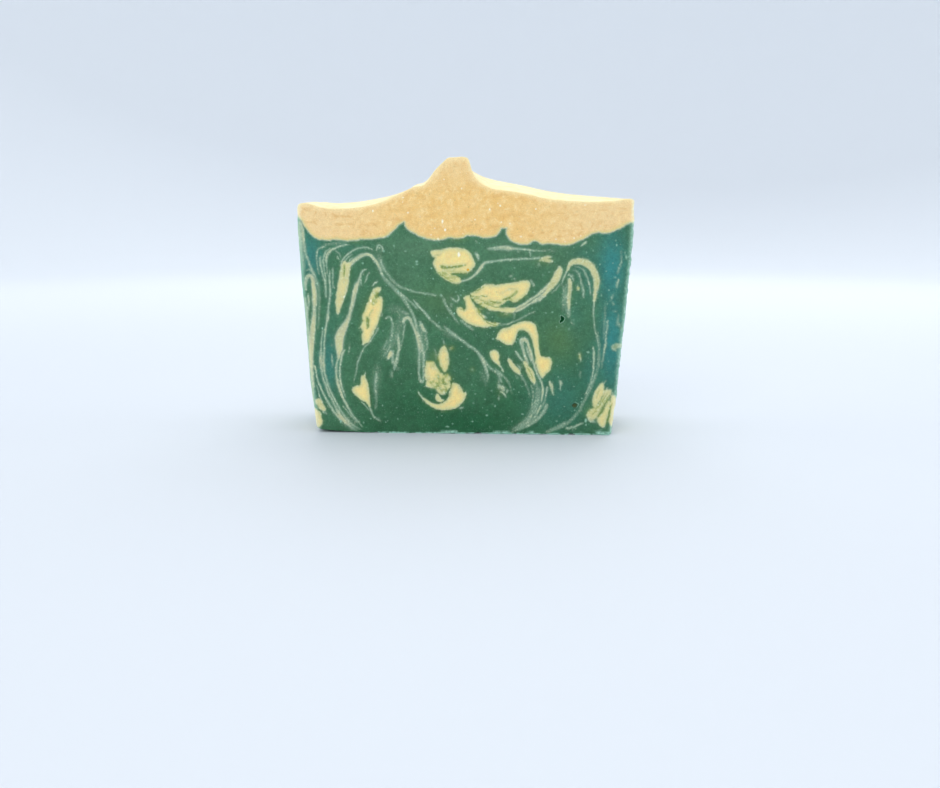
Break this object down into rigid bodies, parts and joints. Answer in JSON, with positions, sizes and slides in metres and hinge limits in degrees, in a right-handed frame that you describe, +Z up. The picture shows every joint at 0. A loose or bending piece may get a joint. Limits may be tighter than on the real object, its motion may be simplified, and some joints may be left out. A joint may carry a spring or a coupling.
{
  "type": "bar of soap",
  "caption": "Hand-cut slice of poured two-tone marbled soap with tapered mould sides, flat cut faces and a spooned ridge along its top.",
  "frame": {"origin": "bottom centre of the bar's bounding box, on the surface that it stands on", "axes": "+X along the width of the slice, +Y through its thickness from the front cut face to the back cut face, +Z up"},
  "size_m": [0.087, 0.026, 0.0725],
  "materials": {
    "soap": "matt cut soap, deep green body marbled with cream, under a layer of cream"
  },
  "bodies": {
    "root": {"soap_bar": "soap"}
  },
  "joints": []
}
